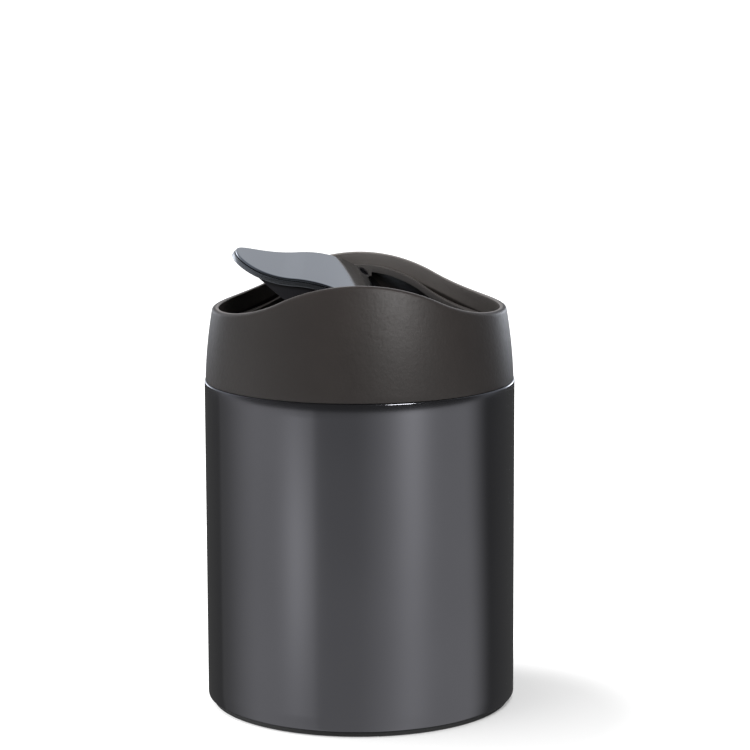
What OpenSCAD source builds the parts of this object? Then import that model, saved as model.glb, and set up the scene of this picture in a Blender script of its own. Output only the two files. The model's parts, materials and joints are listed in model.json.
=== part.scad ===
// Countertop waste bin with a swing lid.
// Millimetres, +Z up, the origin is at the middle of the underside.
// The flap swings about an axle line that runs front to back, along Y.
// A wave is a smooth crest with a trough on each side, made of equal arcs.

/* [Body] */
// Outside diameter of the steel body
body_d = 124; // [110:1:160]
// Height of the steel body, without the base ring
body_h = 129; // [80:0.5:200]
// Sheet thickness of the body
sheet = 0.6; // [0.4:0.05:0.9]
// Depth of the hem folded in at the mouth
hem_h = 5; // [3:0.5:7]
// Width of the flange folded in at the foot
foot_flange_w = 3.9; // [2.5:0.1:5]
// Outside radius of the bend between the body and its flange
foot_bend_r = 1; // [0.9:0.1:1.4]

/* [Bottom] */
// Sheet thickness of the bottom plate
plate_sheet = 0.5; // [0.4:0.05:0.8]
// Height of the plate's upturned rim
plate_rim_h = 5; // [3:0.5:8]
// How far the middle of the plate is raised
plate_rise = 2.2; // [1.5:0.1:4]
// Outside radius of the bend between the plate and its rim
plate_bend_r = 1.5; // [1.4:0.1:2.5]

/* [Base ring] */
// Height of the base ring that shows below the body
base_lift = 2.2; // [1.5:0.1:4]
// How far the base ring stands in from the body's outside
base_inset = 1.9; // [1:0.1:3]
// Width of the base ring's foot
base_w = 8.5; // [6:0.5:12]

/* [Collar] */
// Step from the body's outside in to the collar's outside
collar_step = 0.4; // [0.2:0.1:0.5]
// Radius of the collar's bulging side, seen from the front
bulge_r = 198; // [165:1:300]
// Lean of the collar's side where it leaves the body
bulge_draft = 1.8; // [0:0.1:2.4]
// Wall thickness of the collar
collar_wall = 2.6; // [2:0.1:3.2]
// Height of the rim's crests above the body
rim_high = 44.1; // [36:0.1:54]
// Fall of the rim from its crests to its troughs
rim_drop = 15.3; // [12:0.1:18.5]
// How far the plug reaches into the body
plug_h = 10; // [7:0.5:14]

/* [Pivot ring] */
// Depth of the ledge's crests below the rim's crests
ledge_down = 5.1; // [4:0.1:6.5]
// Thickness of the ledge
ledge_t = 1.6; // [1.2:0.1:2]
// Thickness of the lip below the ledge
lip_t = 1.6; // [1.4:0.1:2]
// Height of the lip, with the ledge
lip_h = 3.0; // [2.4:0.1:4]

/* [Flap] */
// Gap between the flap's edge and the lip
flap_gap = 1.6; // [1.2:0.1:2.5]
// Depth of the closed flap's crest below the ledge's crests
flap_down = 1.6; // [1.2:0.1:2.2]
// Fall of the flap from its crest to its tips
flap_drop = 17.2; // [14:0.1:20.8]
// Tilt of the flap from closed, right wing down
flap_tilt = 35.5; // [-70:0.5:70]
// Thickness of the cover
cover_t = 0.8; // [0.6:0.1:1]
// Height of the groove between cover and frame
groove_h = 0.35; // [0.2:0.05:0.6]
// Diameter of the four stakes that hold the cover
stake_d = 1.8; // [1.4:0.1:2.4]
// Thickness of the frame at its edge
frame_t = 1.3; // [1.1:0.1:1.8]
// Depth of the skirts' lower edge below the axle line
skirt_down = 12; // [9:0.5:14]

/* [Axle] */
// Depth of the axle line below the closed flap's crest
axle_down = 3.4; // [3:0.1:4]
// Diameter of the two axle pins
pin_d = 2.5; // [2:0.1:3]
// Diameter of the pins' heads
pin_head_d = 4.6; // [4:0.1:6]
// Thickness of the pins' heads
pin_head_t = 0.6; // [0.5:0.1:1]
// Swing of the flap to each side of closed
swing_max = 70; // [40:1:85]
// Diameter of the stop pegs on the ring's ears
stop_d = 1.6; // [1.2:0.1:1.8]

/* [Hidden] */
$fn = 96;
// Clearances
slip = 0.3;
bearing_slack = 0.05;
press_slack = 0.01;
seat_film = 0.05;
stake_slack = 0.1;
// Levels: the seam's is above the ground, the others are above the seam
seam_z = base_lift + body_h;
ledge_high = rim_high - ledge_down;
flap_high = ledge_high - flap_down;
axle_z = flap_high - axle_down;
skirt_low = axle_z - skirt_down;
// Body radii
body_r = body_d / 2;
sheet_in_r = body_r - sheet;
hem_in_r = sheet_in_r - sheet;
base_r = body_r - base_inset;
// Collar side, an arc whose centre lies far across the axis
collar_r = body_r - collar_step;
bulge_x = collar_r - bulge_r * cos(bulge_draft);
bulge_z = -bulge_r * sin(bulge_draft);
plug_r = hem_in_r - slip;
plug_in_r = collar_r - collar_wall;
// Throat and flap radii: the pins' heads turn between the lip and the collar
head_room = seat_film + pin_head_t + slip;
throat_r = side_r(axle_z + pin_head_d / 2, collar_wall) - head_room - lip_t;
flap_r = throat_r - flap_gap;
flap_t = cover_t + groove_h + frame_t;
groove_d = 0.8;
cover_step = 0.2;
skirt_r = flap_r - 1;
skirt_t = 1.6;
// Waves: where a trough's middle lies
rim_half = body_r;
flap_half = flap_r + 4.1;
wave_reach = body_r + 2;
wave_n = 24;
// Flap ears and the ears that hang from the ring
ear_d = 8;
ear_gap = 0.7;
ear_l = 6.5;
ring_ear_d = 10;
ear_face = throat_r - ear_gap;
pin_l = 6;
// Stops: a peg on each ring ear and the notch that it runs in
stop_r = 3;
stop_depth = 0.9;
hub_d = 2 * (stop_r - slip) - stop_d;
stop_level = axle_z + stop_d / 2 + slip - stop_r * cos(swing_max);
// Stakes: their places on the closed flap, and their heads
stake_x = 24;
stake_y = 22;
stake_head_d = stake_d + 1.2;
stake_head_t = 0.7;
// Ribs round the plug and nibs under the ledge
rib_n = 6;
nib_n = 8;
nib_h = 1.2;
nib_w = 4;
nib_reach = 0.9;
nib_slack = 0.1;

// Radius of the collar's side at a height above the body, less an inset
function side_r(z, inset = 0) =
    bulge_x + sqrt(pow(bulge_r - inset, 2) - pow(z - bulge_z, 2));

// Radius of the arcs of a wave with this fall over this half length
function wave_r(drop, half) = (half * half + drop * drop) / (4 * drop);

// Height of a wave at x
function wave_z(x, high, drop, half) =
    let (r = wave_r(drop, half), a = abs(x))
    a < half / 2 ? high - r + sqrt(r * r - a * a)
                 : high - drop + r - sqrt(r * r - pow(half - a, 2));

// Sine of a wave's slope at x
function wave_lean(x, drop, half) =
    let (a = abs(x))
    sign(x) * (a < half / 2 ? a : half - a) / wave_r(drop, half);

// Points of a wave from left to right, moved inset square to its slope, then straight down
function wave_line(high, drop, half, inset = 0, down = 0) =
    [for (i = [-wave_n : wave_n])
        let (x = i * wave_reach / wave_n, lean = wave_lean(x, drop, half))
        [x - inset * lean, wave_z(x, high, drop, half) - inset * sqrt(1 - lean * lean) - down]];

// The same points from right to left
function backwards(line) = [for (i = [len(line) - 1 : -1 : 0]) line[i]];

// An outline in the XZ plane, extended from front to back
module front_to_back() {
    rotate([90, 0, 0])
        linear_extrude(height = 3 * body_r, center = true)
            children();
}

// Everything between two wave lines
module between(upper, lower) {
    front_to_back() polygon(concat(upper, backwards(lower)));
}

// Outline of what lies below a wave line and above the height z
function outline_below(line, z) = concat(line, [[wave_reach, z], [-wave_reach, z]]);

// Everything below a wave line and above the height z
module below(line, z = 0) {
    front_to_back() polygon(outline_below(line, z));
}

// Wave lines of the rim, the ledge and the closed flap
function rim_line() = wave_line(rim_high, rim_drop, rim_half);
function ledge_line(down = 0) = wave_line(ledge_high, flap_drop, flap_half, 0, down);
function flap_line(inset = 0) = wave_line(flap_high, flap_drop, flap_half, inset);

// A tube standing on the height z
module tube(outer_r, inner_r, z, h) {
    translate([0, 0, z])
        rotate_extrude()
            translate([inner_r, 0])
                square([outer_r - inner_r, h]);
}

// The half disc, in section, that the collar's side encloses, less an inset
module side_2d(inset = 0) {
    intersection() {
        translate([bulge_x, bulge_z]) circle(r = bulge_r - inset, $fn = 200);
        square([body_r, rim_high + 1]);
    }
}

// A cylinder laid along Y from y0 to y1, on the axle line or some way below it
module along_axle(d, y0, y1, below = 0) {
    translate([0, y0, axle_z - below])
        rotate([-90, 0, 0])
            cylinder(d = d, h = y1 - y0);
}

// Children at the back, and once more at the front
module front_and_back() {
    children();
    mirror([0, 1, 0]) children();
}

// Moves the lid's pieces up onto the body
module on_body() {
    translate([0, 0, seam_z]) children();
}

// Turns the flap's pieces about the axle line
module swung() {
    on_body()
        translate([0, 0, axle_z])
            rotate([0, flap_tilt, 0])
                translate([0, 0, -axle_z])
                    children();
}

// A quarter bend of sheet, in section: outside radius r, its corner at the lower right
module bend_2d(r, t) {
    intersection() {
        difference() {
            circle(r = r);
            circle(r = r - t);
        }
        translate([0, -r]) square(r);
    }
}

// Steel tube: sheet folded back to a hem at the mouth, and bent to a flange at the foot
module body_shell() {
    bend_z = base_lift + foot_bend_r;
    fold_z = seam_z - sheet;
    color("dimgray")
        rotate_extrude() {
            translate([sheet_in_r, bend_z]) square([sheet, fold_z - bend_z]);
            translate([hem_in_r, seam_z - hem_h]) square([sheet, hem_h - sheet]);
            translate([sheet_in_r, fold_z]) circle(r = sheet);
            translate([body_r - foot_bend_r, bend_z]) bend_2d(foot_bend_r, sheet);
            translate([sheet_in_r - foot_flange_w, base_lift])
                square([foot_flange_w + sheet - foot_bend_r, sheet]);
        }
}

// Pressed plate that lies on the flange, raised in the middle
module bottom_plate() {
    rim_r = sheet_in_r - slip / 3;
    low = base_lift + sheet;
    high = low + plate_rise;
    bend_r = rim_r - plate_bend_r;
    flat_r = rim_r - plate_sheet - foot_flange_w;
    raised_r = flat_r - plate_rise;
    color("darkgray")
        rotate_extrude() {
            translate([rim_r - plate_sheet, low + plate_bend_r])
                square([plate_sheet, plate_rim_h - plate_bend_r]);
            translate([bend_r, low + plate_bend_r]) bend_2d(plate_bend_r, plate_sheet);
            polygon([[bend_r, low], [bend_r, low + plate_sheet], [flat_r, low + plate_sheet],
                     [raised_r, high + plate_sheet], [0, high + plate_sheet], [0, high],
                     [raised_r, high], [flat_r, low]]);
        }
}

// Black ring under the body, with an inner wall that locates it
module base_ring() {
    edge_r = 0.8;
    in_r = base_r - base_w;
    wall = 1.6;
    wall_r = sheet_in_r - foot_flange_w - slip;
    wall_h = sheet - slip / 3;
    color("black")
        rotate_extrude() {
            translate([in_r, edge_r]) square([base_w, base_lift - edge_r]);
            translate([in_r, 0]) square([base_w - edge_r, base_lift]);
            translate([base_r - edge_r, edge_r]) circle(r = edge_r);
            translate([wall_r - wall, base_lift]) square([wall, wall_h]);
        }
}

// Moulded collar: bulging side, rim cut to the wave and a plug for the body
module collar() {
    rib_w = 2;
    rib_slack = 0.12;
    bevel = min(0.8, (plug_r - plug_in_r) / 2);
    color("dimgray")
        on_body() {
            intersection() {
                rotate_extrude()
                    difference() {
                        side_2d();
                        side_2d(collar_wall);
                    }
                below(rim_line());
            }
            rotate_extrude()
                polygon([[plug_in_r, 1], [plug_in_r, -plug_h], [plug_r - bevel, -plug_h],
                         [plug_r, bevel - plug_h], [plug_r, 1]]);
            for (i = [0 : rib_n - 1])
                rotate([0, 0, (i + 0.5) * 360 / rib_n])
                    intersection() {
                        translate([plug_in_r, -rib_w / 2, 1 - plug_h])
                            cube([collar_wall, rib_w, plug_h - 1]);
                        tube(hem_in_r - rib_slack, plug_in_r, -plug_h, plug_h);
                    }
            collar_nibs();
        }
}

// Nibs on the collar's inner face that the ring's ledge snaps over
module collar_nibs() {
    under = ledge_t + nib_slack;
    intersection() {
        rotate_extrude()
            difference() {
                side_2d(collar_wall / 2);
                side_2d(collar_wall + nib_reach);
            }
        between(ledge_line(under), ledge_line(under + nib_h));
        for (i = [0 : nib_n - 1])
            rotate([0, 0, (i + 0.5) * 360 / nib_n])
                translate([0, -nib_w / 2, 0])
                    cube([body_r, nib_w, rim_high]);
    }
}

// Ring inside the collar: ledge, lip and two ears that carry the axle pins
module pivot_ring() {
    peg_y = ear_face - stop_depth + slip;
    color("black")
        on_body() {
            front_and_back() along_axle(stop_d, peg_y, throat_r + lip_t / 2, stop_r);
            difference() {
                intersection() {
                    rotate_extrude()
                        difference() {
                            side_2d(collar_wall + slip / 2);
                            square([throat_r, 2 * rim_high]);
                        }
                    below(ledge_line());
                }
                difference() {
                    below(ledge_line(ledge_t), -1);
                    cylinder(r = throat_r + lip_t, h = rim_high);
                }
                front_to_back()
                    difference() {
                        polygon(outline_below(ledge_line(lip_h), -1));
                        ring_ear_2d();
                    }
                along_axle(pin_d + 2 * bearing_slack, -body_r, body_r);
            }
        }
}

// Outline of the ears that hang from the ring at front and back
module ring_ear_2d() {
    translate([0, axle_z]) circle(d = ring_ear_d);
    translate([-ring_ear_d / 2, axle_z]) square([ring_ear_d, ledge_high - axle_z]);
}

// Flap's under-frame: arched plate, skirts at front and back, ears for the pins
module flap_frame() {
    edge_top = cover_t + groove_h;
    seat_top = cover_t + seat_film;
    color("gray")
        swung()
            difference() {
                union() {
                    intersection() {
                        cylinder(r = flap_r, h = rim_high);
                        between(flap_line(edge_top), flap_line(flap_t));
                    }
                    intersection() {
                        cylinder(r = flap_r - groove_d, h = rim_high);
                        between(flap_line(seat_top), flap_line(flap_t));
                    }
                    intersection() {
                        tube(skirt_r, skirt_r - skirt_t, skirt_low, rim_high);
                        below(flap_line(edge_top));
                    }
                    intersection() {
                        flap_ears();
                        below(flap_line(edge_top));
                    }
                }
                pin_bores();
                at_stakes()
                    translate([0, 0, -2 * flap_t])
                        cylinder(d = stake_d + 2 * stake_slack, h = 2 * flap_t);
            }
}

// Bosses behind the skirts that hold the pins, each notched for the ring's stop peg
module flap_ears() {
    floor_y = ear_face - stop_depth;
    front_and_back() {
        along_axle(ear_d, ear_face - ear_l, floor_y);
        along_axle(hub_d, floor_y - 1, ear_face);
        intersection() {
            along_axle(ear_d, floor_y - 1, ear_face);
            translate([-ear_d, 0, stop_level]) cube([2 * ear_d, body_r, ear_d]);
        }
    }
}

// Blind bores that the pins are pressed into
module pin_bores() {
    front_and_back()
        along_axle(pin_d + 2 * press_slack, ear_face - pin_l, ear_face + 1);
}

// Places children square to the closed flap's top where the four stakes are
module at_stakes() {
    lean = asin(wave_lean(stake_x, flap_drop, flap_half));
    z = wave_z(stake_x, flap_high, flap_drop, flap_half);
    for (side = [-1, 1], y = [-stake_y, stake_y])
        translate([side * stake_x, y, z])
            rotate([0, side * lean, 0])
                children();
}

// Flap's cover: a thin arched disc with four stakes whose heads lie under the frame
module flap_cover() {
    head_z = -flap_t - stake_slack - stake_head_t;
    color("lightslategray")
        swung() {
            intersection() {
                cylinder(r = flap_r - cover_step, h = rim_high);
                between(flap_line(), flap_line(cover_t));
            }
            at_stakes()
                translate([0, 0, head_z]) {
                    cylinder(d = stake_d, h = -head_z - cover_t / 2);
                    cylinder(d = stake_head_d, h = stake_head_t);
                }
        }
}

// One axle pin with its head behind the ring's ear; side is -1 at the front
module pivot_pin(side) {
    head_y = throat_r + lip_t + seat_film;
    tip_y = ear_face - pin_l + slip;
    color("silver")
        on_body()
            mirror([0, side < 0 ? 1 : 0, 0]) {
                along_axle(pin_d, tip_y, head_y + pin_head_t / 2);
                along_axle(pin_head_d, head_y, head_y + pin_head_t);
            }
}

body_shell();
bottom_plate();
base_ring();
collar();
pivot_ring();
flap_frame();
flap_cover();
pivot_pin(-1);  // front_pivot_pin
pivot_pin(1);  // back_pivot_pin
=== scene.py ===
"""Countertop waste bin with a swing lid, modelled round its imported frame."""
import json
import math

import bmesh
import bpy
from bpy.props import FloatProperty, FloatVectorProperty, PointerProperty
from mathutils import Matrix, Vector

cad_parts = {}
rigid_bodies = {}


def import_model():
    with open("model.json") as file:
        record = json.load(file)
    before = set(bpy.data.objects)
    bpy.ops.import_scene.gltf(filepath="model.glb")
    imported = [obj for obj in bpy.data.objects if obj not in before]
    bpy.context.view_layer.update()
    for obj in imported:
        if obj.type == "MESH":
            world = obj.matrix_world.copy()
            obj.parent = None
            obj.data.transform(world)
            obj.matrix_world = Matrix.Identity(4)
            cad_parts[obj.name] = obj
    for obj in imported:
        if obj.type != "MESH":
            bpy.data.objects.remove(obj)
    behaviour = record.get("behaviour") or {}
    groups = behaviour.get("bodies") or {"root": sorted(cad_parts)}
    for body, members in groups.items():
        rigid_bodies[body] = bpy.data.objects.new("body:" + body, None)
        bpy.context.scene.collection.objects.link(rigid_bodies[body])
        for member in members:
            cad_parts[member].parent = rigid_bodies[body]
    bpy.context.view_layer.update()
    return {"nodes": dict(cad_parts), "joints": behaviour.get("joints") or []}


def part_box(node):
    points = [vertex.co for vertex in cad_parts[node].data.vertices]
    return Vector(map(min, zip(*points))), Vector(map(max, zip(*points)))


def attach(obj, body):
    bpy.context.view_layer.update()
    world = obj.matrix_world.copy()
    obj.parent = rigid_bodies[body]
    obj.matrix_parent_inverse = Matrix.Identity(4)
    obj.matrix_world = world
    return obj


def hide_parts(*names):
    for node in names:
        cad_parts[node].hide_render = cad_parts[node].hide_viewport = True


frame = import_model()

bl_info = {
    "name": "Countertop swing bin",
    "version": (1, 0, 0),
    "blender": (4, 5, 0),
    "location": "View3D > Sidebar > Bin",
    "description": "Builds a small round waste bin with a swing lid, its finishes and its stage",
    "category": "Add Mesh",
}

TUBE_LOW, TUBE_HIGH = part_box("body_shell")
BASE_LOW, BASE_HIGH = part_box("base_ring")
COLLAR_LOW, COLLAR_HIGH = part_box("collar")
LEDGE_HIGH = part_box("pivot_ring")[1]
PLATE_LOW, PLATE_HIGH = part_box("bottom_plate")
SEAM = TUBE_HIGH.z
MM = 0.001
DEGREES = 180.0 / math.pi
WHITE = (1.0, 1.0, 1.0)

# The flap's joint. The flap is closed at the middle of its swing. AXLE is a point on the line
# that it turns about, and AXLE_HEIGHT is that line's height above the tube
SWING = next(joint for joint in frame["joints"] if joint["name"] == "flap_swing")
SWING_LOW, SWING_HIGH = SWING["range_deg"]
CLOSED = math.radians(0.5 * (SWING_LOW + SWING_HIGH))
HALF_SWING = math.radians(0.5 * (SWING_HIGH - SWING_LOW))
AXLE = SWING["pos_m"]
AXLE_HEIGHT = AXLE[2] - SEAM

# Meshing. A pole is drawn as a tiny ring that merging closes, and a height on a curved wall
# is worked out again a few times until it settles
SPOKES, PLATE_SPOKES, COLLAR_SPOKES, RING_SPOKES = 256, 192, 288, 320
RING_CROWD = 0.33
BAR_SIDES = 48
ROUNDING_STEPS, BLOCK_ROUNDING_STEPS = 4, 2
SHARP_ANGLE = math.radians(35.0)
POLE = 4e-6
MERGE_WITHIN = 3.0 * POLE
ROUNDS = 12

# Construction details that stay as they are
BULGE_DRAFT = math.radians(1.8)
PIN_SEAT = 0.05 * MM
RUNNING_GAP = 0.3 * MM
WAVE_OVERRUN = 4.1 * MM
TUBE_MARGIN = 6.0 * MM
BASE_WALL = 1.6 * MM
RIB_COUNT, RIB_WIDTH, RIB_SLACK = 6, 2.0 * MM, 0.12 * MM
RIB_SHORTER, RIB_RAISED = 1.6 * MM, 0.4 * MM
NIB_COUNT, NIB_WIDTH, NIB_HEIGHT, NIB_REACH = 8, 4.0 * MM, 1.2 * MM, 0.9 * MM
NIB_SLACK = 0.1 * MM
GROOVE_DEPTH = 0.8 * MM
SKIRT_INSET, SKIRT_WALL = 1.0 * MM, 1.6 * MM
EAR_GAP, EAR_RADIUS, EAR_LENGTH = 0.7 * MM, 4.0 * MM, 6.5 * MM
STOP_RADIUS, STOP_DEPTH = 3.0 * MM, 0.9 * MM
STAKE_X, STAKE_Y = 24.0 * MM, 22.0 * MM
STAKE_HEAD, STAKE_HEAD_SHEET = 1.5 * MM, 0.7 * MM
COVER_INSET = 0.2 * MM

# Roundings, by the edge that they are on
FLANGE_EDGE, HEM_EDGE, HEM_BEND_PER_SHEET = 0.1 * MM, 0.15 * MM, 0.97
PRESSED_EDGE, PLATE_EDGE = 0.8 * MM, 0.2 * MM
BASE_INNER_TOP, BASE_INNER_FOOT, BASE_WALL_TOP = 0.3 * MM, 0.4 * MM, 0.12 * MM
BASE_OUTER_TOP, BASE_OUTER_FOOT = 0.2 * MM, 0.75 * MM
PLUG_INNER_EDGE, PLUG_OUTER_EDGE, COLLAR_FOOT = 0.4 * MM, 0.5 * MM, 0.3 * MM
RIM_OUTER_EDGE, RIM_INNER_EDGE = 0.85 * MM, 0.6 * MM
RIB_EDGE, NIB_EDGE, PEG_EDGE, HUB_EDGE = 0.08 * MM, 0.15 * MM, 0.15 * MM, 0.15 * MM
LEDGE_EDGE, LIP_TOP, LIP_FOOT = 0.15 * MM, 0.5 * MM, 0.3 * MM
BAND_TOP, BAND_FOOT = 0.28 * MM, 0.4 * MM
COVER_TOP, COVER_FOOT, STAKE_EDGE = 0.32 * MM, 0.15 * MM, 0.45 * MM

# Finishes. A noise is its scale in spots per metre and its detail, tints are the shares of a
# colour that it wanders between, and a sway is how much a roughness varies
NOISE_ROUGHNESS = 0.55
CLOUD_SPAN = (0.3, 0.7)
LACQUER_CLOUD, LACQUER_PEEL, LACQUER_FLAKES = (16.0, 2.0), (420.0, 1.5), (2600.0, 1.0)
LACQUER_TINTS, LACQUER_SWAY = (0.97, 1.03), 0.02
PLASTIC_CLOUD, PLASTIC_TINTS = (26.0, 3.0), (0.9, 1.1)
PLASTIC_CLOUD_SWAY, PLASTIC_GRAIN_SWAY = 0.08, 0.12
PIT_SHARE, SOFT_PER_PIT, SOFT_DETAIL = 0.5, 0.55, 3.0
FRAME_GRAIN, FRAME_TINTS = (900.0, 3.0), (0.93, 1.07)
FRAME_ROUGHNESS, PAINT_SMOOTHER = 0.44, 0.22
FRAME_CLOUD_SWAY, FRAME_GRAIN_SWAY = 0.06, 0.1
STEEL_LINES, STEEL_SWAY, STEEL_TINTS = (1.0, 3.0), 0.2, (0.86, 1.06)
SPANGLE, SPANGLE_SPAN = 160.0, (0.0, 0.8)

# Painted light on the collar's inner wall: half the width of the change from the dark colour to the
# lighter one, and where it is above the ledge
INNER_LIGHT_HALF, INNER_LIGHT_SPAN = 0.3 * MM, (-1.6 * MM, -0.6 * MM)
PAINT_HALF = 0.1 * MM

# Lamps: name, place, width and height, power, whether matt surfaces and gloss see it
LAMPS = (
    ("overhead_soft_box", (-0.42, -0.15, 1.6), (0.9, 0.9), 25.0, True, False),
    ("front_soft_box", (0.30, -0.95, 1.3), (0.5, 0.5), 29.0, True, False),
    ("right_strip", (0.69, -1.15, 0.72), (0.45, 0.4), 11.0, False, True),
)
LAMP_AIM = Vector((0.0, 0.0, 0.1))

# Floor: its own tint, and the camera's white glow on it, weaker in a pool round the shadow
FLOOR_SIZE = 24.0
FLOOR_TINT = 0.36
FLOOR_GLOW = 0.33
SHADOW_PLACE = (0.04, -0.03, 0.0)
POOL_INNER, POOL_OUTER = 0.055, 0.125

CAMERA_PLACE = (0.0, -1.116, 0.3182)
CAMERA_PITCH, CAMERA_ROLL, CAMERA_YAW = 9.465, 0.22, 0.354
CAMERA_LENS, CAMERA_SENSOR = 135.63, 36.0

# Room that gloss mirrors, in degrees of azimuth, 0 straight in front and + to the right, and
# of elevation. An edge is the pair of directions that a level changes between, a core is the
# middle and spread of a brighter band, and the rest are levels. DEEP is what differs further
# down, towards the ground.
HORIZON_EDGE, DEEP_EDGE = (-5.0, -3.5), (-10.0, -15.5)
ENDS_EDGE, ENDS_LEVEL, ENDS_FALL = (120.0, 175.0), 0.13, 0.07
LEFT_OUTER_EDGE, LEFT_INNER_EDGE = (-128.5, -125.5), (-37.0, -30.5)
LEFT_RISE_EDGE, LEFT_LEVEL, LEFT_RISE = (-127.0, -80.0), 0.09, 0.50
LEFT_FALL_EDGE, LEFT_FALL, LEFT_FALL_LOST_DEEP = (-52.0, -36.0), 0.22, 0.1
RIGHT_INNER_EDGE, RIGHT_OUTER_EDGE, RIGHT_LEVEL = (-6.0, 31.0), (81.0, 110.0), 0.60
RIGHT_WIDER_DEEP = 6.0
MIDDLE_LEVEL, MIDDLE_MORE_DEEP = 0.23, 0.16
LEFT_CORE, LEFT_CORE_ELEVATION, LEFT_CORE_LEVEL = (-46.5, 12.5), (-13.0, 2.0), 0.72
RIGHT_CORE, RIGHT_CORE_LEVEL, RIGHT_CORE_LOST_DEEP = (39.0, 13.0), 0.62, 0.75
BACK_EDGE, BACK_LEVEL, BACK_TINT = (-0.1, 0.5), 0.37, (0.93, 0.98, 1.07)
HIGH_LEVEL, SIDE_GLOW_EDGE = 0.10, (14.0, 6.0)
RIGHT_GLOW, RIGHT_GLOW_LEVEL = (150.0, 10.0), 6.0
LEFT_GLOW, LEFT_GLOW_LEVEL = (-152.0, 12.0), 2.6

# Room that lights matt surfaces, in the same terms
ROOM_LEVEL = 0.20
ROOM_GLOW, ROOM_GLOW_EDGE, ROOM_GLOW_LEVEL = (-105.0, 50.0), (25.0, 10.0), 10.5


def length(name, description, default):
    """A size that the user can change."""
    return FloatProperty(name=name, description=description, default=default,
                         unit="LENGTH", precision=5, min=0.0)


def colour(name, description, default):
    """A colour that the user can change."""
    return FloatVectorProperty(name=name, description=description, default=default,
                               subtype="COLOR", size=3, min=0.0, max=1.0)


class BinSizes(bpy.types.PropertyGroup):
    body_radius: length("Body radius", "Outside radius of the steel tube", TUBE_HIGH.x)
    sheet: length("Sheet", "Thickness of the tube's sheet", 0.6 * MM)
    hem: length("Hem", "Depth of the hem folded in at the mouth", 5.0 * MM)
    flange: length("Flange", "Width of the flange folded in at the foot", 3.9 * MM)
    base_radius: length("Base radius", "Outside radius of the base ring", BASE_HIGH.x)
    base_width: length("Base width", "Width of the base ring's foot", 8.5 * MM)
    plate_radius: length("Plate radius", "Outside radius of the bottom plate", PLATE_HIGH.x)
    plate_rise: length("Plate rise", "How far the plate's middle is raised", 2.2 * MM)
    plate_sheet: length("Plate sheet", "Thickness of the bottom plate", 0.5 * MM)
    plate_bend: length("Plate bend", "Outside radius of the bend at the plate's rim", 1.5 * MM)
    foot_bend: length("Foot bend", "Outside radius of the bend at the tube's foot", 1.0 * MM)
    collar_step: length("Collar step", "Step from the tube in to the collar", 0.4 * MM)
    collar_wall: length("Collar wall", "Wall thickness of the collar", 2.6 * MM)
    bulge_radius: length("Bulge radius", "Radius of the collar's bulging side", 198.0 * MM)
    rim_high: length("Rim crest", "Height of the rim's crests above the tube", COLLAR_HIGH.z - SEAM)
    rim_drop: length("Rim drop", "Fall of the rim from its crests to its troughs", 15.3 * MM)
    plug: length("Plug", "How far the plug reaches into the tube", SEAM - COLLAR_LOW.z)
    ledge_high: length("Ledge crest", "Height of the ledge's crests above the tube", LEDGE_HIGH.z - SEAM)
    ledge_sheet: length("Ledge thickness", "Thickness of the ledge", 1.6 * MM)
    lip_wall: length("Lip wall", "Thickness of the lip", 1.6 * MM)
    lip_height: length("Lip height", "Height of the lip with the ledge", 3.0 * MM)
    ring_ear: length("Ring ear", "Radius of the ears that carry the pins", 5.0 * MM)
    flap_down: length("Flap depth", "Closed flap's crest below the ledge's crests", 1.6 * MM)
    flap_drop: length("Flap drop", "Fall of the flap from its crest to its tips", 17.2 * MM)
    flap_gap: length("Flap gap", "Gap between the flap's edge and the lip", 1.6 * MM)
    cover_sheet: length("Cover thickness", "Thickness of the flap's cover", 0.8 * MM)
    groove: length("Groove", "Height of the groove between cover and frame", 0.35 * MM)
    frame_sheet: length("Frame thickness", "Thickness of the flap's frame at its edge", 1.8 * MM)
    skirt_depth: length("Skirt depth", "Skirts' lower edge below the axle line", 14.0 * MM)
    stake: length("Stake", "Diameter of the stakes that hold the flap's cover", 1.8 * MM)
    peg: length("Stop peg", "Diameter of the stop pegs on the ring's ears", 1.6 * MM)
    pin_head: length("Pin head", "Diameter of the pins' heads", 4.6 * MM)
    pin_head_sheet: length("Pin head thickness", "Thickness of the pins' heads", 0.6 * MM)


class BinColours(bpy.types.PropertyGroup):
    body: colour("Body", "Metallic lacquer of the steel tube", (0.130, 0.130, 0.143))
    flap: colour("Flap", "Glossy lacquer of the flap's cover", (0.145, 0.163, 0.190))
    flap_edge: colour("Flap edge", "Paint on the edge of the flap's frame", (0.150, 0.160, 0.175))
    # Partly painted shade: near black, to stand in for the shade under the flap
    flap_under: colour("Flap underside", "Bare plastic of the flap's frame", (0.006, 0.006, 0.007))
    collar: colour("Collar", "Grained plastic of the collar", (0.0165, 0.0136, 0.0125))
    # Painted light: a lighter colour for the collar's inner wall above the ledge
    collar_inside: colour("Collar inside", "Bare plastic inside the collar", (0.098, 0.090, 0.085))
    ring: colour("Inner ring", "Plastic of the ring inside the collar", (0.040, 0.037, 0.0355))
    base: colour("Base", "Black plastic of the base ring", (0.012, 0.012, 0.013))
    plate: colour("Bottom plate", "Bare zinc-coated steel", (0.56, 0.57, 0.58))
    pin: colour("Pins", "Bright steel of the axle pins", (0.62, 0.62, 0.63))


def sizes():
    return bpy.context.scene.bin_sizes


def colours():
    return bpy.context.scene.bin_colours


# Shapes that several pieces share

def side_radius(height, inset=0.0):
    """Radius of the collar's side at a height above the tube, less an inset."""
    s = sizes()
    middle_x = s.body_radius - s.collar_step - s.bulge_radius * math.cos(BULGE_DRAFT)
    middle_z = -s.bulge_radius * math.sin(BULGE_DRAFT)
    return middle_x + math.sqrt((s.bulge_radius - inset) ** 2 - (height - middle_z) ** 2)


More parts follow.
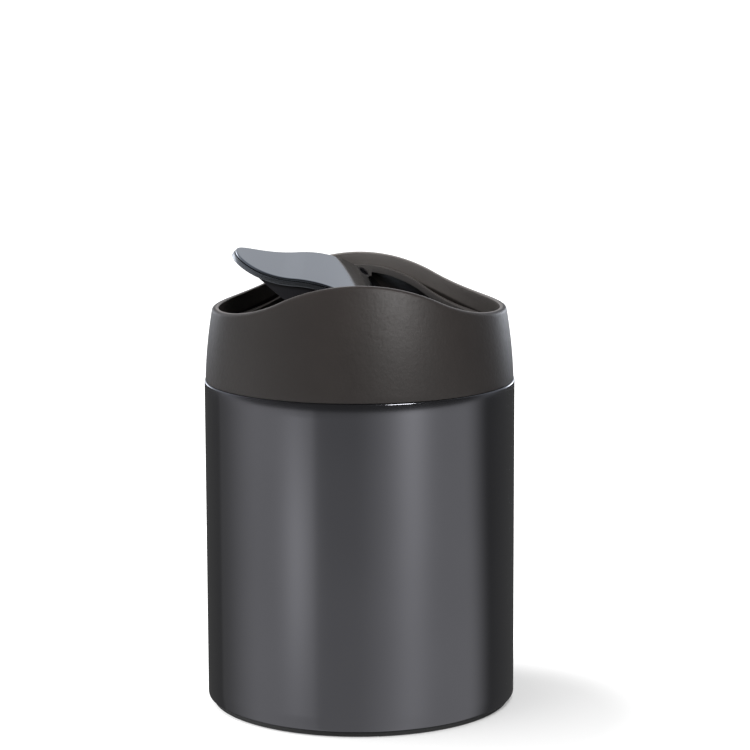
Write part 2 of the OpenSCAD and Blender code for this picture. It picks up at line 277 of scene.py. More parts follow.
def wave(x, high, drop, half, inset=0.0):
    """Height at x of a wave of equal arcs, moved inwards square to its slope."""
    radius = (half * half + drop * drop) / (4.0 * drop)
    x = abs(x)
    if x < 0.5 * half * (1.0 - inset / radius):
        return high - radius + math.sqrt((radius - inset) ** 2 - x * x)
    return high - drop + radius - math.sqrt((radius + inset) ** 2 - (half - x) ** 2)


def rim_height(angle, inset):
    """Height of the rim above the tube where the wall stands at this inset."""
    s = sizes()
    height = s.rim_high
    for _ in range(ROUNDS):
        x = side_radius(height, inset) * math.cos(angle)
        height = wave(x, s.rim_high, s.rim_drop, s.body_radius)
    return height


def throat_radius():
    """Inside radius of the ring's lip."""
    s = sizes()
    head_room = PIN_SEAT + s.pin_head_sheet + RUNNING_GAP
    return side_radius(AXLE_HEIGHT + s.pin_head / 2, s.collar_wall) - head_room - s.lip_wall


def flap_radius():
    """Outside radius of the flap's frame."""
    return throat_radius() - sizes().flap_gap


def ear_face():
    """How far the flap's ears reach to the front and back."""
    return throat_radius() - EAR_GAP


def ledge_height(x):
    """Height of the ring's ledge above the tube."""
    s = sizes()
    return wave(x, s.ledge_high, s.flap_drop, flap_radius() + WAVE_OVERRUN)


def ledge_on_wall(angle, inset, down):
    """Height above the tube where the ledge, moved down, meets the wall at this inset."""
    height = sizes().ledge_high
    for _ in range(ROUNDS):
        height = ledge_height(side_radius(height, inset) * math.cos(angle)) - down
    return height


def flap_height(x, inset=0.0):
    """Height of the closed flap above the tube, or of a layer at this inset below its top."""
    s = sizes()
    return wave(x, s.ledge_high - s.flap_down, s.flap_drop, flap_radius() + WAVE_OVERRUN, inset)


def arch_ring(radius, inset, rounding=0.0):
    """A ring of a wall that follows the closed flap's arch at this inset below its top."""
    return radius, (lambda angle: SEAM + flap_height(radius * math.cos(angle), inset)), rounding


# Modelling steps

def nothing_selected():
    if bpy.context.object and bpy.context.object.mode != "OBJECT":
        bpy.ops.object.mode_set(mode="OBJECT")
    bpy.ops.object.select_all(action="DESELECT")


def draw_wall(name, rings, spokes=SPOKES, crowd=0.0):
    """A closed wall drawn up from a circle, one ring after another. A ring is (radius, height,
    rounding), and radius and height may depend on the angle. The last ring joins the first,
    or both are poles. crowd brings the spokes closer together at front and back."""
    nothing_selected()
    bpy.ops.mesh.primitive_circle_add(vertices=spokes, radius=1.0, enter_editmode=True)
    piece = bpy.context.object
    piece.name = piece.data.name = name
    mesh = bmesh.from_edit_mesh(piece.data)
    for vertex in mesh.verts:
        angle = math.atan2(vertex.co.y, vertex.co.x)
        angle += crowd * math.sin(2.0 * angle)
        vertex.co = (math.cos(angle), math.sin(angle), 0.0)
    widest = max(ring[2] for ring in rings)
    for number, (radius, height, rounding) in enumerate(rings):
        if number:
            bpy.ops.mesh.extrude_edges_move()
        mesh = bmesh.from_edit_mesh(piece.data)
        weight = (mesh.edges.layers.float.get("bevel_weight_edge")
                  or mesh.edges.layers.float.new("bevel_weight_edge"))
        for vertex in mesh.verts:
            if vertex.select:
                angle = math.atan2(vertex.co.y, vertex.co.x)
                r = radius(angle) if callable(radius) else radius
                z = height(angle) if callable(height) else height
                vertex.co = (r * math.cos(angle), r * math.sin(angle), z)
        for edge in mesh.edges:
            if edge.verts[0].select and edge.verts[1].select:
                edge[weight] = rounding / widest
        bmesh.update_edit_mesh(piece.data)
    bpy.ops.mesh.select_all(action="SELECT")
    bpy.ops.mesh.remove_doubles(threshold=MERGE_WITHIN)
    bpy.ops.mesh.normals_make_consistent(inside=False)
    bpy.ops.object.mode_set(mode="OBJECT")
    bevel = piece.modifiers.new("Rounding", "BEVEL")
    bevel.limit_method = "WEIGHT"
    bevel.width = widest
    bevel.segments = ROUNDING_STEPS
    bpy.ops.object.modifier_apply(modifier=bevel.name)
    return piece


def add_blocks(piece, count, place, size, rounding):
    """Small rounded blocks round a wall, added to the piece's own mesh. place gives the radius
    and height of a block's middle at its angle."""
    bpy.ops.object.mode_set(mode="EDIT")
    for number in range(count):
        angle = (number + 0.5) * 2.0 * math.pi / count
        radius, height = place(angle)
        bpy.ops.mesh.select_all(action="DESELECT")
        bpy.ops.mesh.primitive_cube_add(
            size=1.0, location=(radius * math.cos(angle), radius * math.sin(angle), height),
            rotation=(0.0, 0.0, angle), scale=size)
        bpy.ops.mesh.bevel(offset=rounding, segments=BLOCK_ROUNDING_STEPS, affect="EDGES")
    bpy.ops.object.mode_set(mode="OBJECT")


def add_bar(piece, diameter, first, last, rounding=0.0, cut=None):
    """A round bar from one point to another, added to the piece's own mesh, its last end
    rounded. Where cut is given, only what is above that height stays."""
    bpy.ops.object.mode_set(mode="EDIT")
    bpy.ops.mesh.select_all(action="DESELECT")
    first, last = Vector(first), Vector(last)
    along = last - first
    bpy.ops.mesh.primitive_cylinder_add(
        vertices=BAR_SIDES, radius=0.5 * diameter, depth=along.length,
        location=0.5 * (first + last), rotation=along.to_track_quat("Z", "Y").to_euler())
    if rounding:
        mesh = bmesh.from_edit_mesh(piece.data)
        nearly_along = 0.9 * along.length
        for face in mesh.faces:
            if face.select:
                face.select = face.normal.dot(along) > nearly_along
        bmesh.update_edit_mesh(piece.data)
        bpy.ops.mesh.bevel(offset=rounding, segments=ROUNDING_STEPS, affect="EDGES")
    if cut is not None:
        bpy.ops.mesh.select_linked()
        bpy.ops.mesh.bisect(plane_co=(0.0, 0.0, cut), plane_no=(0.0, 0.0, 1.0), use_fill=True,
                            clear_inner=True)
    bpy.ops.object.mode_set(mode="OBJECT")


def finish_piece(piece, body, node, material):
    """Smooth shading, material, and the piece's place in the frame."""
    nothing_selected()
    piece.select_set(True)
    bpy.context.view_layer.objects.active = piece
    bpy.ops.object.shade_smooth_by_angle(angle=SHARP_ANGLE)
    piece.data.materials.clear()
    piece.data.materials.append(material)
    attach(piece, body)
    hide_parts(node)


def steps(first, last, count):
    """Even steps from first to last, both counted."""
    return [first + (last - first) * i / (count - 1) for i in range(count)]


# Materials

class Value:
    """A number or colour that varies, as an expression that adds its nodes."""

    def __init__(self, look, socket):
        self.look, self.socket = look, socket

    def math(self, operation, *others):
        inputs = dict(enumerate((self,) + others))
        return self.look.node("ShaderNodeMath", inputs, operation=operation)

    def reflected(self, operation, other):
        return self.look.node("ShaderNodeMath", {0: other, 1: self}, operation=operation)

    def __add__(self, other):
        return self.math("ADD", other)

    def __radd__(self, other):
        return self.reflected("ADD", other)

    def __sub__(self, other):
        return self.math("SUBTRACT", other)

    def __rsub__(self, other):
        return self.reflected("SUBTRACT", other)

    def __mul__(self, other):
        return self.math("MULTIPLY", other)

    def __rmul__(self, other):
        return self.reflected("MULTIPLY", other)

    def __truediv__(self, other):
        return self.math("DIVIDE", other)

    def __rtruediv__(self, other):
        return self.reflected("DIVIDE", other)

    def hump(self, middle, spread):
        """1 at the middle, falling away smoothly on both sides."""
        away = (self - middle) / spread
        return (away * away * -1.0).math("EXPONENT")

    def sway(self, width):
        """A value from 0 to 1 turned into a change of half the width either way."""
        return (self - 0.5) * width

    def between(self, low, high, to_low=0.0, to_high=1.0):
        """This value carried smoothly from one range to another."""
        return self.look.node("ShaderNodeMapRange", {
            "Value": self, "From Min": low, "From Max": high,
            "To Min": to_low, "To Max": to_high}, interpolation_type="SMOOTHSTEP")


class Look:
    """The node tree of one material or of the world."""

    def __init__(self, owner):
        owner.use_nodes = True
        self.tree = owner.node_tree
        self.tree.nodes.clear()

    def node(self, kind, inputs=None, out=0, **settings):
        """A node with its settings, and with values or links on its sockets."""
        made = self.tree.nodes.new(kind)
        for name, value in settings.items():
            setattr(made, name, value)
        for name, value in (inputs or {}).items():
            if isinstance(value, Value):
                self.tree.links.new(value.socket, made.inputs[name])
            else:
                made.inputs[name].default_value = value
        return Value(self, made.outputs[out]) if made.outputs else None

    def position(self):
        return self.node("ShaderNodeTexCoord", out="Object")

    def parts(self, vector):
        """The x, y and z of a vector."""
        return [self.node("ShaderNodeSeparateXYZ", {"Vector": vector}, out=axis) for axis in "XYZ"]

    def noise(self, scale, detail, where=None):
        """Cloudy noise on Object coordinates or on a vector."""
        return self.node("ShaderNodeTexNoise", {
            "Vector": where or self.position(), "Scale": scale, "Detail": detail,
            "Roughness": NOISE_ROUGHNESS})

    def stretched(self, scale):
        """Object coordinates scaled differently along each axis."""
        return self.node("ShaderNodeMapping", {"Vector": self.position(), "Scale": scale})

    def mix_colour(self, share, first, second):
        """A mix of two colours, which Mix has at its sockets 6 and 7, and its result at 2."""
        return self.node("ShaderNodeMix", {0: share, 6: first, 7: second}, out=2,
                         data_type="RGBA")

    def toned(self, share, tint, tints):
        """A tint that goes from the one share of itself to the other."""
        return self.mix_colour(share, rgba(tint, tints[0]), rgba(tint, tints[1]))

    def shaded(self, colour, share):
        """A colour made darker or lighter by a share."""
        return self.node("ShaderNodeVectorMath", {0: colour, "Scale": share}, operation="SCALE")

    def bump(self, height, distance):
        return self.node("ShaderNodeBump", {"Height": height, "Distance": distance,
                                            "Strength": 1.0})


def rgba(three, factor=1.0):
    return tuple(factor * c for c in three) + (1.0,)


def new_material(name, fixed, vary):
    """A material from constants on the shader's sockets and a function that adds what varies."""
    material = bpy.data.materials.new(name)
    look = Look(material)
    inputs = dict(fixed)
    inputs.update(vary(look))
    shader = look.node("ShaderNodeBsdfPrincipled", inputs)
    look.node("ShaderNodeOutputMaterial", {"Surface": shader})
    return material


def lacquer(name, tint, roughness, coat, ripple):
    """Metallic lacquer under a clear coat: a faint cloudiness and a trace of orange peel."""
    def vary(look):
        cloud = look.noise(*LACQUER_CLOUD)
        peel = look.noise(*LACQUER_PEEL)
        flakes = look.noise(*LACQUER_FLAKES)
        tone = look.toned(cloud.between(*CLOUD_SPAN), tint, LACQUER_TINTS)
        shine = roughness + cloud.sway(LACQUER_SWAY) + flakes.sway(LACQUER_SWAY)
        return {"Base Color": tone, "Roughness": shine, "Normal": look.bump(peel, ripple)}
    fixed = {"Metallic": 1.0, "Coat Weight": coat, "Coat Roughness": 0.05, "Coat IOR": 1.45}
    return new_material(name, fixed, vary)


def grained_plastic(name, tint, roughness, grain, depth, specular=0.5):
    """Moulded plastic with a spark-eroded grain: small pits over slow unevenness. tint is a
    colour, or a function that adds the nodes of one."""
    def vary(look):
        pits = look.node("ShaderNodeTexVoronoi", {"Vector": look.position(), "Scale": grain},
                         feature="SMOOTH_F1")
        soft = look.noise(grain * SOFT_PER_PIT, SOFT_DETAIL)
        cloud = look.noise(*PLASTIC_CLOUD)
        plain = tint(look) if callable(tint) else tuple(tint)
        tone = look.shaded(plain, cloud.between(*CLOUD_SPAN, *PLASTIC_TINTS))
        shine = roughness + soft.sway(PLASTIC_GRAIN_SWAY) + cloud.sway(PLASTIC_CLOUD_SWAY)
        height = pits * PIT_SHARE + soft
        return {"Base Color": tone, "Roughness": shine, "Normal": look.bump(height, depth)}
    return new_material(name, {"Specular IOR Level": specular}, vary)


def collar_finish_painted_light():
    """Grained plastic with painted light: the inner wall above the ledge has a lighter colour than the
    outside. Below the ledge the inner wall keeps the outside's dark colour, as painted shade inside the
    bin.
    """
    s = sizes()
    middle = SEAM - s.bulge_radius * math.sin(BULGE_DRAFT)
    widest = side_radius(middle - SEAM) - 0.5 * s.collar_wall

    def tint(look):
        x, y, z = look.parts(look.position())
        away = (x * x + y * y).math("SQRT")
        above = z - middle
        inwards = widest - above * above / (2.0 * s.bulge_radius) - away
        fall = 1.0 - (x * (math.pi / s.body_radius)).math("COSINE")
        ledge = z - (SEAM + s.ledge_high) + fall * (0.5 * s.flap_drop)
        # Painted light: the inner wall turns to the lighter colour, only above the ledge
        inside = inwards.between(-INNER_LIGHT_HALF, INNER_LIGHT_HALF)
        inside = inside * ledge.between(*INNER_LIGHT_SPAN)
        return look.mix_colour(inside, rgba(colours().collar), rgba(colours().collar_inside))
    return grained_plastic("collar_plastic", tint, roughness=0.45, grain=900.0,
                           depth=0.055 * MM, specular=0.42)


def frame_finish():
    """Black plastic with paint on its outer edge, found in the closed flap's own directions. The
    unpainted plastic is near black, partly as painted shade under the flap.
    """
    edge = flap_radius() - 0.5 * SKIRT_INSET

    def vary(look):
        from_axle = look.node("ShaderNodeVectorMath", {0: look.position(), 1: AXLE},
                              operation="SUBTRACT")
        turned = look.node("ShaderNodeMapping", {
            "Vector": from_axle, "Rotation": (0.0, CLOSED, 0.0)})
        x, y = look.parts(turned)[:2]
        away = (x * x + y * y).math("SQRT")
        painted = away.between(edge - PAINT_HALF, edge + PAINT_HALF)
        # Near-black plastic on the underside and skirts, partly painted shade
        tone = look.mix_colour(painted, rgba(colours().flap_under), rgba(colours().flap_edge))
        grain = look.noise(*FRAME_GRAIN)
        cloud = look.noise(*PLASTIC_CLOUD)
        shine = FRAME_ROUGHNESS - painted * PAINT_SMOOTHER
        shine = shine + grain.sway(FRAME_GRAIN_SWAY) + cloud.sway(FRAME_CLOUD_SWAY)
        return {"Base Color": look.shaded(tone, cloud.between(*CLOUD_SPAN, *FRAME_TINTS)),
                "Metallic": painted, "Roughness": shine,
                "Normal": look.bump(grain, 0.012 * MM)}
    return new_material("flap_plastic", {"Specular IOR Level": 0.08}, vary)


def bare_steel(name, tint, roughness, brush):
    """Steel with fine drawn lines and spangle. brush scales the lines along each axis."""
    def vary(look):
        lines = look.noise(*STEEL_LINES, look.stretched(brush))
        spangle = look.node("ShaderNodeTexVoronoi", {
            "Vector": look.position(), "Scale": SPANGLE})
        tone = look.toned(spangle.between(*SPANGLE_SPAN), tint, STEEL_TINTS)
        shine = roughness + lines.sway(STEEL_SWAY)
        return {"Base Color": tone, "Roughness": shine, "Normal": look.bump(lines, 0.01 * MM)}
    return new_material(name, {"Metallic": 1.0}, vary)


# Pieces

class BIN_OT_tube(bpy.types.Operator):
    """Steel tube with its rolled hem and the flange at the foot"""
    bl_idname = "bin.tube"
    bl_label = "Painted tube"

    def execute(self, context):
        s = sizes()
        low, high = TUBE_LOW.z, TUBE_HIGH.z
        outside = s.body_radius
        inside = outside - s.sheet
        hem = inside - s.sheet
        flange = inside - s.flange
        bend = HEM_BEND_PER_SHEET * s.sheet
        rings = [(inside, 0.5 * high, 0.0), (inside, low + s.sheet, s.foot_bend - s.sheet),
                 (flange, low + s.sheet, FLANGE_EDGE), (flange, low, FLANGE_EDGE),
                 (outside, low, s.foot_bend)]
        rings += [(outside, z, 0.0) for z in steps(low + TUBE_MARGIN, high - TUBE_MARGIN, 9)]
        rings += [(outside, high, bend), (hem, high, bend), (hem, high - s.hem, HEM_EDGE),
                  (inside, high - s.hem, 0.0), (inside, 0.5 * high, 0.0)]
        piece = draw_wall("painted_tube", rings)
        paint = lacquer("body_lacquer", colours().body, roughness=0.13, coat=0.25,
                        ripple=0.0006 * MM)
        finish_piece(piece, "body", "body_shell", paint)
        return {"FINISHED"}


class BIN_OT_bottom(bpy.types.Operator):
    """Pressed bottom plate that lies on the tube's flange"""
    bl_idname = "bin.bottom"
    bl_label = "Bottom plate"

    def execute(self, context):
        s = sizes()
        low, sheet = PLATE_LOW.z, s.plate_sheet
        high = low + s.plate_rise
        rim_top = PLATE_HIGH.z
        rim = s.plate_radius
        flat = rim - sheet - s.flange
        raised = flat - s.plate_rise
        rings = [(POLE, high + sheet, 0.0), (0.5 * raised, high + sheet, 0.0),
                 (raised, high + sheet, PRESSED_EDGE), (flat, low + sheet, PRESSED_EDGE),
                 (rim - sheet, low + sheet, s.plate_bend - sheet),
                 (rim - sheet, rim_top, PLATE_EDGE), (rim, rim_top, PLATE_EDGE),
                 (rim, low, s.plate_bend), (flat, low, PRESSED_EDGE),
                 (raised, high, PRESSED_EDGE), (0.5 * raised, high, 0.0), (POLE, high, 0.0)]
        piece = draw_wall("pressed_bottom", rings, PLATE_SPOKES)
        steel = bare_steel("zinc_steel", colours().plate, roughness=0.36,
                           brush=(60.0, 900.0, 900.0))
        finish_piece(piece, "body", "bottom_plate", steel)
        return {"FINISHED"}


class BIN_OT_base(bpy.types.Operator):
    """Black ring that the tube stands on"""
    bl_idname = "bin.base"
    bl_label = "Base ring"

    def execute(self, context):
        s = sizes()
        low, top = BASE_LOW.z, TUBE_LOW.z
        wall_top = BASE_HIGH.z
        outside = s.base_radius
        inside = outside - s.base_width
        wall = s.body_radius - s.sheet - s.flange - RUNNING_GAP
        wall_in = wall - BASE_WALL
        middle = 0.5 * (inside + wall_in)
        rings = [(middle, top, 0.0), (inside, top, BASE_INNER_TOP),
                 (inside, low, BASE_INNER_FOOT), (outside, low, BASE_OUTER_FOOT),
                 (outside, top, BASE_OUTER_TOP), (wall, top, 0.0),
                 (wall, wall_top, BASE_WALL_TOP), (wall_in, wall_top, BASE_WALL_TOP),
                 (wall_in, top, 0.0), (middle, top, 0.0)]
        piece = draw_wall("foot_ring", rings)
        plastic = grained_plastic("base_plastic", colours().base, roughness=0.42, grain=1500.0,
                                  depth=0.01 * MM)
        finish_piece(piece, "body", "base_ring", plastic)
        return {"FINISHED"}


class BIN_OT_collar(bpy.types.Operator):
    """Moulded collar with the waved rim and the plug that reaches into the tube"""
    bl_idname = "bin.collar"
    bl_label = "Collar"

    def execute(self, context):
        s = sizes()
        wall = s.collar_wall
        plug_out = s.body_radius - 2 * s.sheet - RUNNING_GAP
        plug_in = s.body_radius - s.collar_step - wall
        low = SEAM - s.plug

        def up(share, inset):
            """A ring part of the way up the wall to the rim."""
            def radius(angle):
                return side_radius(share * rim_height(angle, inset), inset)

            def height(angle):
                return SEAM + share * rim_height(angle, inset)
            return radius, height

        half_up = low + 0.5 * s.plug
        rings = [(plug_in, half_up, 0.0), (plug_in, low, PLUG_INNER_EDGE),
                 (plug_out, low, PLUG_OUTER_EDGE), (plug_out, SEAM, 0.0),
                 (s.body_radius - s.collar_step, SEAM, COLLAR_FOOT)]
        rings += [(*up(share, 0.0), 0.0) for share in steps(0.06, 0.94, 18)]
        rings += [(*up(1.0, 0.0), RIM_OUTER_EDGE), (*up(1.0, wall), RIM_INNER_EDGE)]
        rings += [(*up(share, wall), 0.0) for share in steps(0.93, 0.03, 12)]
        rings += [(plug_in, half_up, 0.0)]
        piece = draw_wall("moulded_collar", rings, COLLAR_SPOKES)
        rib = s.body_radius - 2 * s.sheet - RIB_SLACK - plug_in
        rib_middle = (plug_in + 0.5 * rib, half_up + RIB_RAISED)
        add_blocks(piece, RIB_COUNT, lambda angle: rib_middle,
                   (rib, RIB_WIDTH, s.plug - RIB_SHORTER), RIB_EDGE)

        def nib(angle):
            """Middle of a nib, just under the inner ring's ledge."""
            z = ledge_on_wall(angle, wall, s.ledge_sheet) - NIB_SLACK - 0.5 * NIB_HEIGHT
            return side_radius(z, wall), SEAM + z
        add_blocks(piece, NIB_COUNT, nib, (2 * NIB_REACH, NIB_WIDTH, NIB_HEIGHT), NIB_EDGE)
        finish_piece(piece, "lid", "collar", collar_finish_painted_light())
        return {"FINISHED"}


class BIN_OT_ring(bpy.types.Operator):
    """Ring inside the collar: ledge, lip and the two ears that carry the pins"""
    bl_idname = "bin.ring"
    bl_label = "Inner ring"

    def execute(self, context):
        s = sizes()
        throat = throat_radius()
        lip_out = throat + s.lip_wall
        inset = s.collar_wall + RUNNING_GAP / 2

        def outer(down):
            """Radius and height where the ledge, moved down, meets the collar."""
            def radius(angle):
                return side_radius(ledge_on_wall(angle, inset, down), inset)

            def height(angle):
                return SEAM + ledge_on_wall(angle, inset, down)
            return radius, height

        def ledge(radius, down):
            return lambda angle: SEAM + ledge_height(radius * math.cos(angle)) - down

        def lip_end(radius):
            """Lower edge of the lip, which hangs lower where the ears are."""
            def height(angle):
                x = radius * math.cos(angle)
                if abs(x) < s.ring_ear:
                    return AXLE[2] - math.sqrt(s.ring_ear ** 2 - x * x)
                return SEAM + ledge_height(x) - s.lip_height
            return height

        rings = [(*outer(s.ledge_sheet), 0.0), (*outer(0.0), LEDGE_EDGE),
                 (throat, ledge(throat, 0.0), LIP_TOP), (throat, lip_end(throat), LIP_FOOT),
                 (lip_out, lip_end(lip_out), LIP_FOOT),
                 (lip_out, ledge(lip_out, s.ledge_sheet), 0.0), (*outer(s.ledge_sheet), 0.0)]
        piece = draw_wall("inner_ring", rings, RING_SPOKES, RING_CROWD)
        peg_z = AXLE[2] - STOP_RADIUS
        for side in (-1, 1):
            add_bar(piece, s.peg, (0.0, side * (throat + 0.5 * s.lip_wall), peg_z),
                    (0.0, side * (ear_face() - STOP_DEPTH + RUNNING_GAP), peg_z), PEG_EDGE)
        plastic = grained_plastic("ring_plastic", colours().ring, roughness=0.50, grain=1100.0,
                                  depth=0.02 * MM, specular=0.3)
        finish_piece(piece, "lid", "pivot_ring", plastic)
        return {"FINISHED"}


def swing_open(piece):
    """Turns a closed flap piece about the axle line to the angle it has at rest."""
    bpy.ops.object.mode_set(mode="EDIT")
    bpy.ops.mesh.select_all(action="SELECT")
    bpy.ops.transform.rotate(value=CLOSED, orient_axis="Y", orient_type="GLOBAL",
                             center_override=AXLE)
    bpy.ops.object.mode_set(mode="OBJECT")


class BIN_OT_flap_frame(bpy.types.Operator):
    """Flap's frame: arched plate with an edge band, two skirts and two ears"""
    bl_idname = "bin.flap_frame"
    bl_label = "Flap frame"

    def execute(self, context):
        s = sizes()
        radius = flap_radius()
        seat = s.cover_sheet + PIN_SEAT
        band = s.cover_sheet + s.groove
        under = band + s.frame_sheet
        core = radius - GROOVE_DEPTH
        skirt = radius - SKIRT_INSET
        skirt_in = skirt - SKIRT_WALL
        skirt_low = AXLE_HEIGHT - s.skirt_depth

        def hem_ring(r):
            """Lower edge of the skirts, which end where the arch itself reaches lower."""
            def height(angle):
                return SEAM + min(skirt_low, flap_height(r * math.cos(angle), under))
            return r, height, 0.0

        rings = [arch_ring(r, seat) for r in [POLE] + steps(0.1 * core, 0.9 * core, 8) + [core]]
        rings += [arch_ring(core, band), arch_ring(radius, band, BAND_TOP),
                  arch_ring(radius, under, BAND_FOOT), arch_ring(skirt, under),
                  hem_ring(skirt), hem_ring(skirt_in), arch_ring(skirt_in, under)]
        rings += [arch_ring(r, under) for r in steps(0.95 * skirt_in, 0.05 * skirt_in, 18)]
        rings += [arch_ring(POLE, under)]
        piece = draw_wall("flap_underframe", rings)
        self.add_ears(piece)
        swing_open(piece)
        finish_piece(piece, "flap", "flap_frame", frame_finish())
        return {"FINISHED"}

    def add_ears(self, piece):
        """Bosses behind the skirts that hold the pins, each notched for the ring's stop peg."""
        s = sizes()
        axle = AXLE[2]
        face = ear_face()
        floor = face - STOP_DEPTH
        hub = 2 * (STOP_RADIUS - RUNNING_GAP) - s.peg
        stop = axle + 0.5 * s.peg + RUNNING_GAP - STOP_RADIUS * math.cos(HALF_SWING)
        for side in (-1, 1):
            inner = (0.0, side * (face - EAR_LENGTH), axle)
            add_bar(piece, 2 * EAR_RADIUS, inner, (0.0, side * floor, axle))
            add_bar(piece, hub, inner, (0.0, side * face, axle), HUB_EDGE)
            add_bar(piece, 2 * EAR_RADIUS, inner, (0.0, side * face, axle), cut=stop)


class BIN_OT_flap_cover(bpy.types.Operator):
    """Flap's glossy cover, a thin arched disc"""
    bl_idname = "bin.flap_cover"
    bl_label = "Flap cover"

    def execute(self, context):
        sheet = sizes().cover_sheet
        radius = flap_radius() - COVER_INSET
        rings = [arch_ring(r, 0.0) for r in [POLE] + steps(0.03 * radius, 0.975 * radius, 36)]
        rings += [arch_ring(radius, 0.0, COVER_TOP), arch_ring(radius, sheet, COVER_FOOT)]
        rings += [arch_ring(r, sheet) for r in steps(0.95 * radius, 0.05 * radius, 12) + [POLE]]
        piece = draw_wall("flap_top", rings)
        self.add_stakes(piece)
        swing_open(piece)
        paint = lacquer("flap_lacquer", colours().flap, roughness=0.07, coat=0.2,
                        ripple=0.0005 * MM)
        finish_piece(piece, "flap", "flap_cover", paint)
        return {"FINISHED"}

    def add_stakes(self, piece):
        """Four stakes square to the arch, their flat heads under the flap's frame."""
        s = sizes()
        under = s.cover_sheet + s.groove + s.frame_sheet + RUNNING_GAP / 3
        aside = 0.1 * MM
        for x in (-STAKE_X, STAKE_X):
            slope = (flap_height(x + aside) - flap_height(x - aside)) / (2.0 * aside)
            down = Vector((slope, 0.0, -1.0)).normalized()
            for y in (-STAKE_Y, STAKE_Y):
                top = Vector((x, y, SEAM + flap_height(x)))
                head = top + down * under
                add_bar(piece, s.stake, top + down * 0.5 * s.cover_sheet, head)
                add_bar(piece, 2 * STAKE_HEAD, head, head + down * STAKE_HEAD_SHEET, STAKE_EDGE)


class BIN_OT_pins(bpy.types.Operator):
    """Finish of the two axle pins"""
    bl_idname = "bin.pins"
    bl_label = "Axle pins"

    def execute(self, context):
        steel = bare_steel("pin_steel", colours().pin, roughness=0.28,
                           brush=(900.0, 80.0, 900.0))
        for node in ("front_pivot_pin", "back_pivot_pin"):
            pin = frame["nodes"][node]
            pin.data.materials.clear()
            pin.data.materials.append(steel)
        return {"FINISHED"}


# Stage

def direction(look):
    """Azimuth and elevation in degrees of where a ray goes, and how far it goes to the back."""
    x, y, z = look.parts(look.node("ShaderNodeTexCoord", out="Generated"))
    azimuth = x.math("ARCTAN2", y * -1.0) * DEGREES
    elevation = z.math("ARCSINE") * DEGREES
    return azimuth, elevation, y


def glossy_surroundings(look):
    """Level and tint of what gloss mirrors: below the horizon two tall soft panels with
    brighter cores, above it a dim room with a pale wall behind and a glow at each side."""
    azimuth, elevation, y = direction(look)
    deep = elevation.between(*DEEP_EDGE)

    ends = ENDS_LEVEL - azimuth.math("ABSOLUTE").between(*ENDS_EDGE) * ENDS_FALL
    left_inner = azimuth.between(*LEFT_INNER_EDGE)
    left = azimuth.between(*LEFT_RISE_EDGE) * LEFT_RISE + LEFT_LEVEL
    left = azimuth.between(*LEFT_OUTER_EDGE) * left
    fall = azimuth.between(*LEFT_FALL_EDGE) * (LEFT_FALL - deep * LEFT_FALL_LOST_DEEP)
    left = left * (1.0 - fall) * (1.0 - left_inner)
    right_inner = azimuth.between(*RIGHT_INNER_EDGE)
    right_outer = (azimuth - deep * RIGHT_WIDER_DEEP).between(*RIGHT_OUTER_EDGE)
    right = right_inner * (1.0 - right_outer) * RIGHT_LEVEL
    middle = left_inner * (1.0 - right_inner) * (deep * MIDDLE_MORE_DEEP + MIDDLE_LEVEL)
    left_core = azimuth.hump(*LEFT_CORE) * elevation.hump(*LEFT_CORE_ELEVATION)
    right_core = azimuth.hump(*RIGHT_CORE) * (1.0 - deep * RIGHT_CORE_LOST_DEEP)
    cores = left_core * LEFT_CORE_LEVEL + right_core * RIGHT_CORE_LEVEL
    low = ends + left + right + middle + cores

    behind = y.between(*BACK_EDGE)
    sides = azimuth.hump(*RIGHT_GLOW) * RIGHT_GLOW_LEVEL
    sides = sides + azimuth.hump(*LEFT_GLOW) * LEFT_GLOW_LEVEL
    high = HIGH_LEVEL + behind * BACK_LEVEL + sides * elevation.between(*SIDE_GLOW_EDGE)
    above = elevation.between(*HORIZON_EDGE)
    level = low * (1.0 - above) + high * above
    return level, look.mix_colour(behind * above, rgba(WHITE), rgba(BACK_TINT))


def matt_surroundings(look):
    """Level of what lights matt surfaces: a dim room with a wide low glow from the left."""
    azimuth, elevation = direction(look)[:2]
    glow = azimuth.hump(*ROOM_GLOW) * elevation.between(*ROOM_GLOW_EDGE)
    return ROOM_LEVEL + glow * ROOM_GLOW_LEVEL


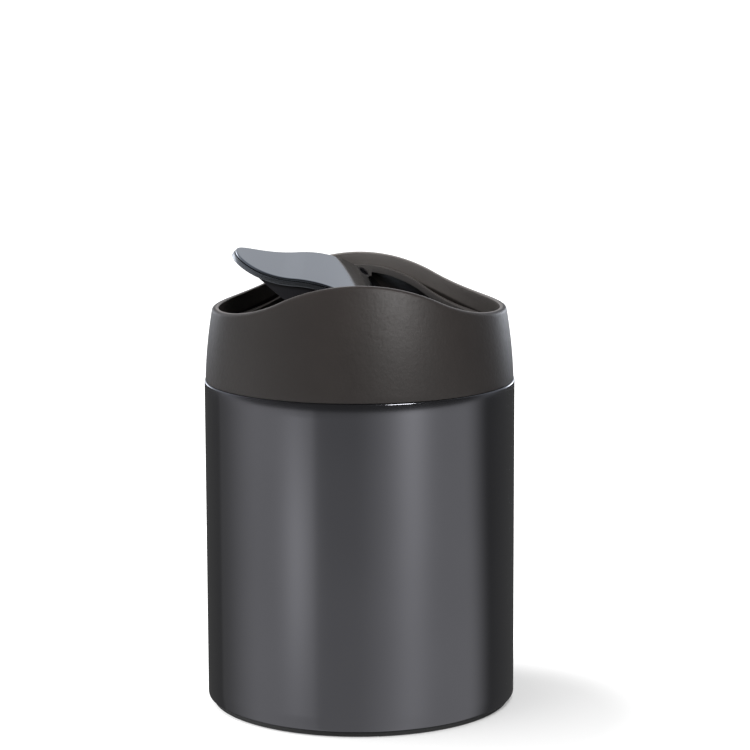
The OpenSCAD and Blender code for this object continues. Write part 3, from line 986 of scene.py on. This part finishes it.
class BIN_OT_stage(bpy.types.Operator):
    """Pale floor, soft light and the camera"""
    bl_idname = "bin.stage"
    bl_label = "Stage"

    def execute(self, context):
        self.floor()
        self.world()
        self.lamps()
        self.camera()
        context.scene.view_settings.view_transform = "Standard"
        return {"FINISHED"}

    def floor(self):
        nothing_selected()
        bpy.ops.mesh.primitive_plane_add(size=FLOOR_SIZE, location=(0.0, 0.0, 0.0))
        floor = bpy.context.object
        floor.name = "floor"
        material = bpy.data.materials.new("pale_floor")
        look = Look(material)
        camera = look.node("ShaderNodeLightPath", out="Is Camera Ray")
        glossy = look.node("ShaderNodeLightPath", out="Is Glossy Ray")
        away = look.node("ShaderNodeVectorMath", {0: look.position(), 1: SHADOW_PLACE},
                         out="Value", operation="DISTANCE")
        matt = look.node("ShaderNodeBsdfDiffuse", {"Color": rgba(WHITE, FLOOR_TINT)})
        pool = away.between(POOL_INNER, POOL_OUTER, FLOOR_GLOW, 1.0)
        glow = look.node("ShaderNodeEmission", {"Color": rgba(WHITE), "Strength": camera * pool})
        both = look.node("ShaderNodeAddShader", {0: matt, 1: glow})
        clear = look.node("ShaderNodeBsdfTransparent")
        seen = look.node("ShaderNodeMixShader", {0: glossy, 1: both, 2: clear})
        look.node("ShaderNodeOutputMaterial", {"Surface": seen})
        floor.data.materials.append(material)

    def world(self):
        world = bpy.data.worlds.new("studio")
        bpy.context.scene.world = world
        look = Look(world)
        camera = look.node("ShaderNodeLightPath", out="Is Camera Ray")
        glossy = look.node("ShaderNodeLightPath", out="Is Glossy Ray")
        mirrored, tint = glossy_surroundings(look)
        level = glossy * mirrored + (1.0 - glossy) * matt_surroundings(look)
        seen = camera + (1.0 - camera) * level
        tone = look.mix_colour(glossy, rgba(WHITE), tint)
        back = look.node("ShaderNodeBackground", {"Color": tone, "Strength": seen})
        look.node("ShaderNodeOutputWorld", {"Surface": back})

    def lamps(self):
        for name, place, size, power, on_matt, on_gloss in LAMPS:
            bpy.ops.object.light_add(type="AREA", location=place)
            lamp = bpy.context.object
            lamp.name = name
            lamp.data.shape = "RECTANGLE"
            lamp.data.size, lamp.data.size_y = size
            lamp.data.energy = power
            lamp.visible_diffuse = on_matt
            lamp.visible_glossy = on_gloss
            aim = LAMP_AIM - Vector(place)
            lamp.rotation_euler = aim.to_track_quat("-Z", "Y").to_euler()

    def camera(self):
        bpy.ops.object.camera_add(location=CAMERA_PLACE)
        camera = bpy.context.object
        camera.name = "photo_view"
        camera.rotation_euler = (math.radians(90.0 - CAMERA_PITCH), math.radians(CAMERA_ROLL),
                                 math.radians(-CAMERA_YAW))
        camera.data.sensor_width = CAMERA_SENSOR
        camera.data.lens = CAMERA_LENS
        bpy.context.scene.camera = camera


class BIN_PT_panel(bpy.types.Panel):
    """Lists the pieces, sizes and colours of the bin"""
    bl_idname = "BIN_PT_panel"
    bl_label = "Swing bin"
    bl_space_type = "VIEW_3D"
    bl_region_type = "UI"
    bl_category = "Bin"

    def draw(self, context):
        for operator in OPERATORS:
            self.layout.operator(operator.bl_idname)
        for group in (context.scene.bin_sizes, context.scene.bin_colours):
            box = self.layout.box()
            for name in group.__annotations__:
                box.prop(group, name)


OPERATORS = (BIN_OT_stage, BIN_OT_tube, BIN_OT_bottom, BIN_OT_base, BIN_OT_collar, BIN_OT_ring,
             BIN_OT_flap_frame, BIN_OT_flap_cover, BIN_OT_pins)
CLASSES = (BinSizes, BinColours) + OPERATORS + (BIN_PT_panel,)


def register():
    for item in CLASSES:
        bpy.utils.register_class(item)
    bpy.types.Scene.bin_sizes = PointerProperty(type=BinSizes)
    bpy.types.Scene.bin_colours = PointerProperty(type=BinColours)


def unregister():
    del bpy.types.Scene.bin_sizes
    del bpy.types.Scene.bin_colours
    for item in reversed(CLASSES):
        bpy.utils.unregister_class(item)


def main():
    register()
    for operator in OPERATORS:
        group, name = operator.bl_idname.split(".")
        getattr(getattr(bpy.ops, group), name)()


if __name__ == "__main__":
    main()
